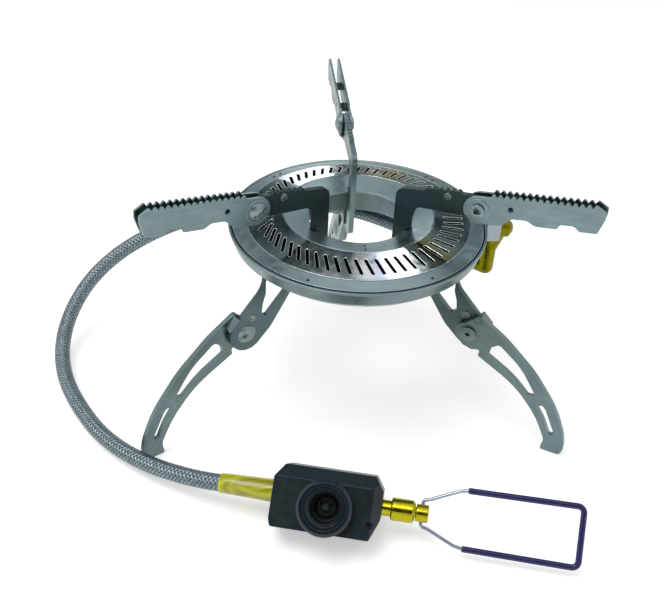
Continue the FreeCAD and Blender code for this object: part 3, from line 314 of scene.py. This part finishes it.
def grip_plastic():
    g = Graph("grip_plastic")
    coords = g.coords()
    cloud = g.noise(coords, 160.0, 3.0)
    g.set(Base_Color=g.mix(cloud, (0.004, 0.004, 0.030), (0.012, 0.008, 0.115)))
    g.set(Roughness=g.span(g.noise(coords, 500.0), 0.3, 0.7, 0.24, 0.4), Coat_Weight=0.35,
          Coat_Roughness=0.15, Coat_Tint=(0.35, 0.3, 1.0, 1.0))
    g.set(Normal=g.bump(g.noise(coords, 900.0), 0.2, 0.04 * MM))
    return g.material


def brass(name, base, rough):
    """Yellow brass with patches of tarnish."""
    g = metal(name, base, rough, "cloud", 0.3, 1.6, 0.14, 0.15)
    body = g.base_colour()
    tarnish = g.noise(g.coords(), 110.0, 5.0, 1.2)
    g.set(Base_Color=g.mix(g.span(tarnish, 0.56, 0.72, 0.0, 0.6), body, shade(base, 0.45)))
    return g.material


SATIN = (0.215, 0.295, 0.305)
DARK = (0.036, 0.057, 0.062)
# The arms' scratches and mottle, and their edges painted brighter as wear and as a painted
# highlight.
ARM_WEAR_AND_GLINT = {"grain": "arm", "edge": 0.22, "bright": 1.9, "mottle": 0.12, "bump": 0.3}
JAW_FOOT_Z = 86.0        # the rear bracket's painted reflection weakens above this height
LINK_Z = 56.0            # the other two are painted lighter below this one, a painted reflection
LINK_TOP_Z = 66.0


def arm_metal(name, base, rough, place, slope):
    """A plate's or channel's steel, with scratches along it at a slope in degrees."""
    return metal(name + "_" + place, base, rough, azimuth=ARM_AZIMUTHS[place], slope=slope,
                 **ARM_WEAR_AND_GLINT)


def bracket_metal(place):
    """Dark steel, painted lighter as a painted reflection: below the pan on the left and right ones,
    and over most of the rear one.
    """
    g = arm_metal("bracket_steel", DARK, 0.34, place, 25.0)
    body = g.base_colour()
    # Painted reflection: parts of the bracket painted lighter, by height.
    _, z, _ = round_coords(g, g.coords())
    if place == "rear":
        painted_light = g.span(z, JAW_FOOT_Z * MM, (JAW_FOOT_Z + 3.0) * MM, 0.9, 0.6)
    else:
        painted_light = g.span(z, LINK_Z * MM, LINK_TOP_Z * MM, 0.45, 0.0)
    g.set(Base_Color=g.mix(painted_light, body, shade(SATIN, 0.85)))
    return g.material


def paint():
    """Every CAD node's material."""
    looks = {
        "burner_pan": metal("pan_steel", (0.19, 0.25, 0.26), 0.34, "turned", 0.35).material,
        "burner_flange": metal("flange_steel", (0.27, 0.355, 0.37), 0.36, "turned", 0.3,
                               mottle=0.08, bump=0.12).material,
        "flame_port_ring": polished_band(),
        # Very dark steel, seen through the slots.
        "gas_diffuser": metal("dark_diffuser_steel", (0.045, 0.050, 0.058), 0.45, "turned").material,
        "flange_rivets": blackened("rivet_dots", (0.02, 0.025, 0.03), 0.4, 0.1, (0.2, 0.25, 0.3)),
        "mixing_tube": metal("tube_steel", (0.33, 0.36, 0.36), 0.3).material,
        "air_shroud": metal("shroud_steel", (0.30, 0.35, 0.38), 0.28).material,
        "jet_holder": brass("jet_brass", (0.19, 0.175, 0.004), 0.26),
        "inlet_fitting": brass("brass", (0.42, 0.38, 0.015), 0.2),
        "bracket_clips": metal("clip_steel", (0.09, 0.115, 0.125), 0.35).material,
        "detent_pins": metal("pin_steel", (0.13, 0.16, 0.17), 0.3).material,
        "support_rivets": metal("rivet_steel", (0.21, 0.26, 0.27), 0.26, edge=0.3).material,
        "valve_body": blackened("black_anodised", (0.0060, 0.0140, 0.0180), 0.36, 0.35,
                                (0.05, 0.06, 0.30)),
        "valve_screw": blackened("screw_black", (0.004, 0.006, 0.007), 0.4, 0.15,
                                 (0.03, 0.04, 0.06)),
        "socket_collar": blackened("collar_black", (0.008, 0.015, 0.018), 0.17, 0.2,
                                   (0.030, 0.040, 0.20)),
        "socket_seal": rubber("seal_rubber", (0.004, 0.005, 0.006)),
        "depressor_pin": blackened("depressor", (0.016, 0.024, 0.026), 0.35, 0.25,
                                   (0.10, 0.13, 0.14)),
        "hose_sleeve": amber_sleeve(),
        "wire_handle": metal("wire_steel", (0.36, 0.40, 0.47), 0.2).material,
        "handle_grip": grip_plastic()}
    same = {"jet_holder": ["jet_nozzle", "jet_ferrule"],
            "inlet_fitting": ["valve_bonnet", "valve_spindle"],
            "burner_flange": ["inner_flange"],
            "support_rivets": ["leg_rivets", "clip_rivets", "leg_washers", "leg_stop_pins"],
            "socket_seal": ["spindle_seal"]}
    for source, others in same.items():
        for name in others:
            looks[name] = looks[source]
    for place in ARM_AZIMUTHS:
        looks["bracket_" + place] = bracket_metal(place)
        support = arm_metal("support_steel", shade(SATIN, 0.88), 0.32, place, 9.0)
        leg = arm_metal("leg_steel", shade(SATIN, 0.72), 0.32, place, -45.0)
        looks["pot_support_" + place] = support.material
        looks["leg_" + place] = leg.material
    for name, node in NODES.items():
        if name in looks:
            node.data.materials.clear()
            node.data.materials.append(looks[name])


# ------------------------------------------------------------------- the hose

def route_point(p):
    return AXIS + Vector(p) * MM


def hose_curve():
    data = bpy.data.curves.new("braided_hose", "CURVE")
    data.dimensions = "3D"
    spline = data.splines.new("NURBS")
    spline.points.add(len(HOSE_ROUTE) - 1)
    for point, p in zip(spline.points, HOSE_ROUTE):
        point.co = tuple(route_point(p)) + (1.0,)
    spline.order_u = 3
    spline.use_endpoint_u = True
    spline.resolution_u = 24
    hose = bpy.data.objects.new("braided_hose", data)
    bpy.context.scene.collection.objects.link(hose)
    return hose


def even_line(curve, step):
    """Points along the curve a step apart, in metres."""
    mesh = bpy.data.meshes.new_from_object(curve)
    raw = [v.co.copy() for v in mesh.vertices]
    bpy.data.meshes.remove(mesh)
    points = [raw[0]]
    need = step
    for a, b in zip(raw, raw[1:]):
        length = (b - a).length
        at = 0.0
        while length - at >= need:
            at += need
            points.append(a.lerp(b, at / length))
            need = step
        need -= length - at
    return points


def frames_along(points):
    """An (across, up) pair at each point, turning as little as possible."""
    frames = []
    ahead = (points[1] - points[0]).normalized()
    across = ahead.cross(Vector((0, 0, 1))).normalized()
    for i in range(len(points)):
        before = points[max(i - 1, 0)]
        after = points[min(i + 1, len(points) - 1)]
        way = (after - before).normalized()
        across = (across - way * across.dot(way)).normalized()
        frames.append((across, way.cross(across)))
    return frames


STRANDS = 10             # each way round
LAY = 16.0               # one turn of a strand
BUNDLE = 0.98            # width of a strand
WEAVE = 0.06             # how far a strand rises and dips as it crosses the others
ARCH = 0.03              # crown of a strand above its middle radius
CORE_GAP = 0.2           # core below the braid's outside


def braid(line):
    """Flat bundles of wire, wound both ways and woven over and under one another."""
    frames = frames_along(line)
    step = (line[1] - line[0]).length
    verts = []
    faces = []
    uvs = []
    half = BUNDLE / 2 / math.cos(math.atan2(2 * math.pi * HOSE_R, LAY)) / HOSE_R
    for way in (1, -1):
        for strand in range(STRANDS):
            first = len(verts)
            for i, (point, (across, up)) in enumerate(zip(line, frames)):
                s = i * step / MM
                lift = WEAVE * way * math.cos(2 * math.pi * STRANDS * s / LAY)
                angle = way * 2 * math.pi * s / LAY + 2 * math.pi * strand / STRANDS
                for side, arch in ((-1, -ARCH), (0, ARCH), (1, -ARCH)):
                    a = angle + side * half
                    out = across * math.cos(a) + up * math.sin(a)
                    verts.append(point + out * (HOSE_R - WEAVE + lift + arch) * MM)
                    uvs.append(((side + 1) / 2, s))
            for i in range(len(line) - 1):
                for k in (0, 1):
                    a = first + 3 * i + k
                    faces.append((a, a + 1, a + 4, a + 3))
    mesh = bpy.data.meshes.new("hose_braid")
    mesh.from_pydata(verts, [], faces)
    layer = mesh.uv_layers.new(name="UVMap")
    for loop in mesh.loops:
        layer.data[loop.index].uv = uvs[loop.vertex_index]
    mesh.shade_smooth()
    obj = bpy.data.objects.new("hose_braid", mesh)
    bpy.context.scene.collection.objects.link(obj)
    obj.data.materials.append(braid_wire())
    return obj


def add_hose():
    hose = hose_curve()
    line = even_line(hose, LAY / STRANDS / 4 * MM)
    cover = braid(line)
    hose.data.bevel_depth = (HOSE_R - CORE_GAP) * MM
    hose.data.bevel_resolution = 5
    hose.data.use_fill_caps = True
    hose.data.materials.append(rubber("hose_core", (0.008, 0.010, 0.016)))
    for piece in (hose, cover):
        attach(piece, "stove")
    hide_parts("hose")


# ----------------------------------------------------------------- the socket

def valve_point(x, y, z):
    p = Vector((x, y, z)) * MM
    p.rotate(Quaternion((1, 0, 0), -VALVE_TILT))
    p.rotate(Quaternion((0, 0, 1), VALVE_AZIMUTH))
    return AXIS + VALVE_AT + p


def add_socket_thread():
    """The inside thread of the canister socket, as one helical ridge."""
    pitch = 0.907            # 28 to the inch
    turns = 5.0
    steps = 60               # round one turn
    height = 0.42
    verts = []
    faces = []
    start = FACE_Y - 3.7
    for i in range(int(turns * steps) + 1):
        a = 2 * math.pi * i / steps
        y = start + pitch * i / steps
        fade = min(1.0, i / 20, (turns * steps - i) / 20 + 0.02)
        crest = -height * fade
        for out, along in ((0.0, -0.38), (crest, -0.06), (crest, 0.06), (0.0, 0.38)):
            r = THREAD_R + 0.02 + out
            verts.append(valve_point(r * math.cos(a), y + along, SOCKET_Z + r * math.sin(a)))
    for i in range(int(turns * steps)):
        for k in range(3):
            a = 4 * i + k
            faces.append((a, a + 1, a + 5, a + 4))
    mesh = bpy.data.meshes.new("socket_thread")
    mesh.from_pydata(verts, [], faces)
    mesh.shade_smooth()
    obj = bpy.data.objects.new("socket_thread", mesh)
    bpy.context.scene.collection.objects.link(obj)
    obj.data.materials.append(blackened("thread_black", (0.012, 0.019, 0.022), 0.3, 0.2,
                                        (0.05, 0.06, 0.2)))
    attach(obj, "stove")


# ----------------------------------------------------------------- the studio

def glossy_plane(name, width, height, centre, turn, level):
    """A glowing plane that only reflections see."""
    bpy.ops.mesh.primitive_plane_add(size=1.0)
    plane = bpy.context.object
    plane.name = name
    plane.scale = (width, height, 1.0)
    plane.rotation_mode = "QUATERNION"
    plane.rotation_quaternion = turn
    plane.location = centre
    for ray in ("camera", "diffuse", "shadow", "transmission", "volume_scatter"):
        setattr(plane, "visible_" + ray, False)
    material = bpy.data.materials.new(name)
    material.use_nodes = True
    tree = material.node_tree
    tree.nodes.clear()
    out = tree.nodes.new("ShaderNodeOutputMaterial")
    light = tree.nodes.new("ShaderNodeEmission")
    light.inputs["Color"].default_value = level + (1.0,)
    tree.links.new(light.outputs[0], out.inputs[0])
    plane.data.materials.append(material)


def card(name, centre, towards, width, height, level, strip=None):
    """A panel at a grey level. Its strip is (lean, half width, level)."""
    turn = (towards - centre).to_track_quat("Z", "Y")
    glossy_plane(name, width, height, centre, turn, level)
    if strip:
        lean, half, gleam = strip
        front = centre + (towards - centre).normalized() * 0.01
        lean_turn = turn @ Quaternion((0, 0, 1), lean)
        glossy_plane(name + "_strip", half * 2, height * 1.1, front, lean_turn, gleam)


FILL = 0.6               # the world's light on the object
FLOOR_GLOW = 0.38        # added for seen rays, so that the floor comes out white
KEY_WATTS = 3.2


def add_world():
    """A white background, and a dimmer even light."""
    world = bpy.data.worlds.new("studio")
    bpy.context.scene.world = world
    world.use_nodes = True
    tree = world.node_tree
    tree.nodes.clear()
    out = tree.nodes.new("ShaderNodeOutputWorld")
    mix = tree.nodes.new("ShaderNodeMixShader")
    seen = tree.nodes.new("ShaderNodeBackground")
    fill = tree.nodes.new("ShaderNodeBackground")
    seen.inputs["Color"].default_value = (1, 1, 1, 1)
    seen.inputs["Strength"].default_value = 1.0
    fill.inputs["Color"].default_value = (1, 1, 1, 1)
    fill.inputs["Strength"].default_value = FILL
    tree.links.new(seen_rays(tree), mix.inputs[0])
    tree.links.new(fill.outputs[0], mix.inputs[1])
    tree.links.new(seen.outputs[0], mix.inputs[2])
    tree.links.new(mix.outputs[0], out.inputs[0])


def add_floor():
    bpy.ops.mesh.primitive_plane_add(size=4.0, location=(0, 0, -0.0002))
    floor = bpy.context.object
    floor.name = "floor"
    material = bpy.data.materials.new("floor")
    material.use_nodes = True
    tree = material.node_tree
    shader = tree.nodes["Principled BSDF"]
    shader.inputs["Base Color"].default_value = (0.92, 0.92, 0.92, 1)
    shader.inputs["Roughness"].default_value = 0.7
    shader.inputs["Specular IOR Level"].default_value = 0.1
    glow = tree.nodes.new("ShaderNodeEmission")
    lift = tree.nodes.new("ShaderNodeMath")
    lift.operation = "MULTIPLY"
    tree.links.new(seen_rays(tree), lift.inputs[0])
    lift.inputs[1].default_value = FLOOR_GLOW
    tree.links.new(lift.outputs[0], glow.inputs["Strength"])
    both = tree.nodes.new("ShaderNodeAddShader")
    tree.links.new(shader.outputs[0], both.inputs[0])
    tree.links.new(glow.outputs[0], both.inputs[1])
    tree.links.new(both.outputs[0], tree.nodes["Material Output"].inputs[0])
    floor.data.materials.append(material)


def studio():
    add_world()
    add_floor()
    lamp = bpy.data.lights.new("key", "AREA")
    lamp.size = 0.5
    lamp.energy = KEY_WATTS
    key = bpy.data.objects.new("key", lamp)
    key.location = (-0.25, -0.2, 0.8)
    key.rotation_euler = (-0.25, -0.3, 0)
    bpy.context.scene.collection.objects.link(key)

    middle = AXIS + Vector((0, 0, 80)) * MM
    rise = math.radians(30.6)
    bearing = math.radians(8.05)
    level_way = Vector((math.sin(bearing), math.cos(bearing), 0)) * math.cos(rise)
    back = level_way + Vector((0, 0, math.sin(rise)))
    card("back_panel", middle + back * 1.2, middle, 1.5, 1.1, (0.125, 0.17, 0.18),
         (-0.40, 0.095, (1.9, 1.95, 2.0)))
    eye = AXIS + CAMERA_FROM_AXIS
    card("front_panel", eye + (eye - middle) * 0.3, middle, 0.36, 0.30, (0.05, 0.05, 0.06))


def seen_rays(tree):
    """1 for a camera, glossy or transmitted ray."""
    path = tree.nodes.new("ShaderNodeLightPath")
    last = path.outputs["Is Camera Ray"]
    for name in ("Is Glossy Ray", "Is Transmission Ray"):
        either = tree.nodes.new("ShaderNodeMath")
        either.operation = "MAXIMUM"
        tree.links.new(last, either.inputs[0])
        tree.links.new(path.outputs[name], either.inputs[1])
        last = either.outputs[0]
    return last


add_camera()
add_hose()
paint()
add_socket_thread()
studio()
bpy.context.scene.view_settings.view_transform = "Standard"
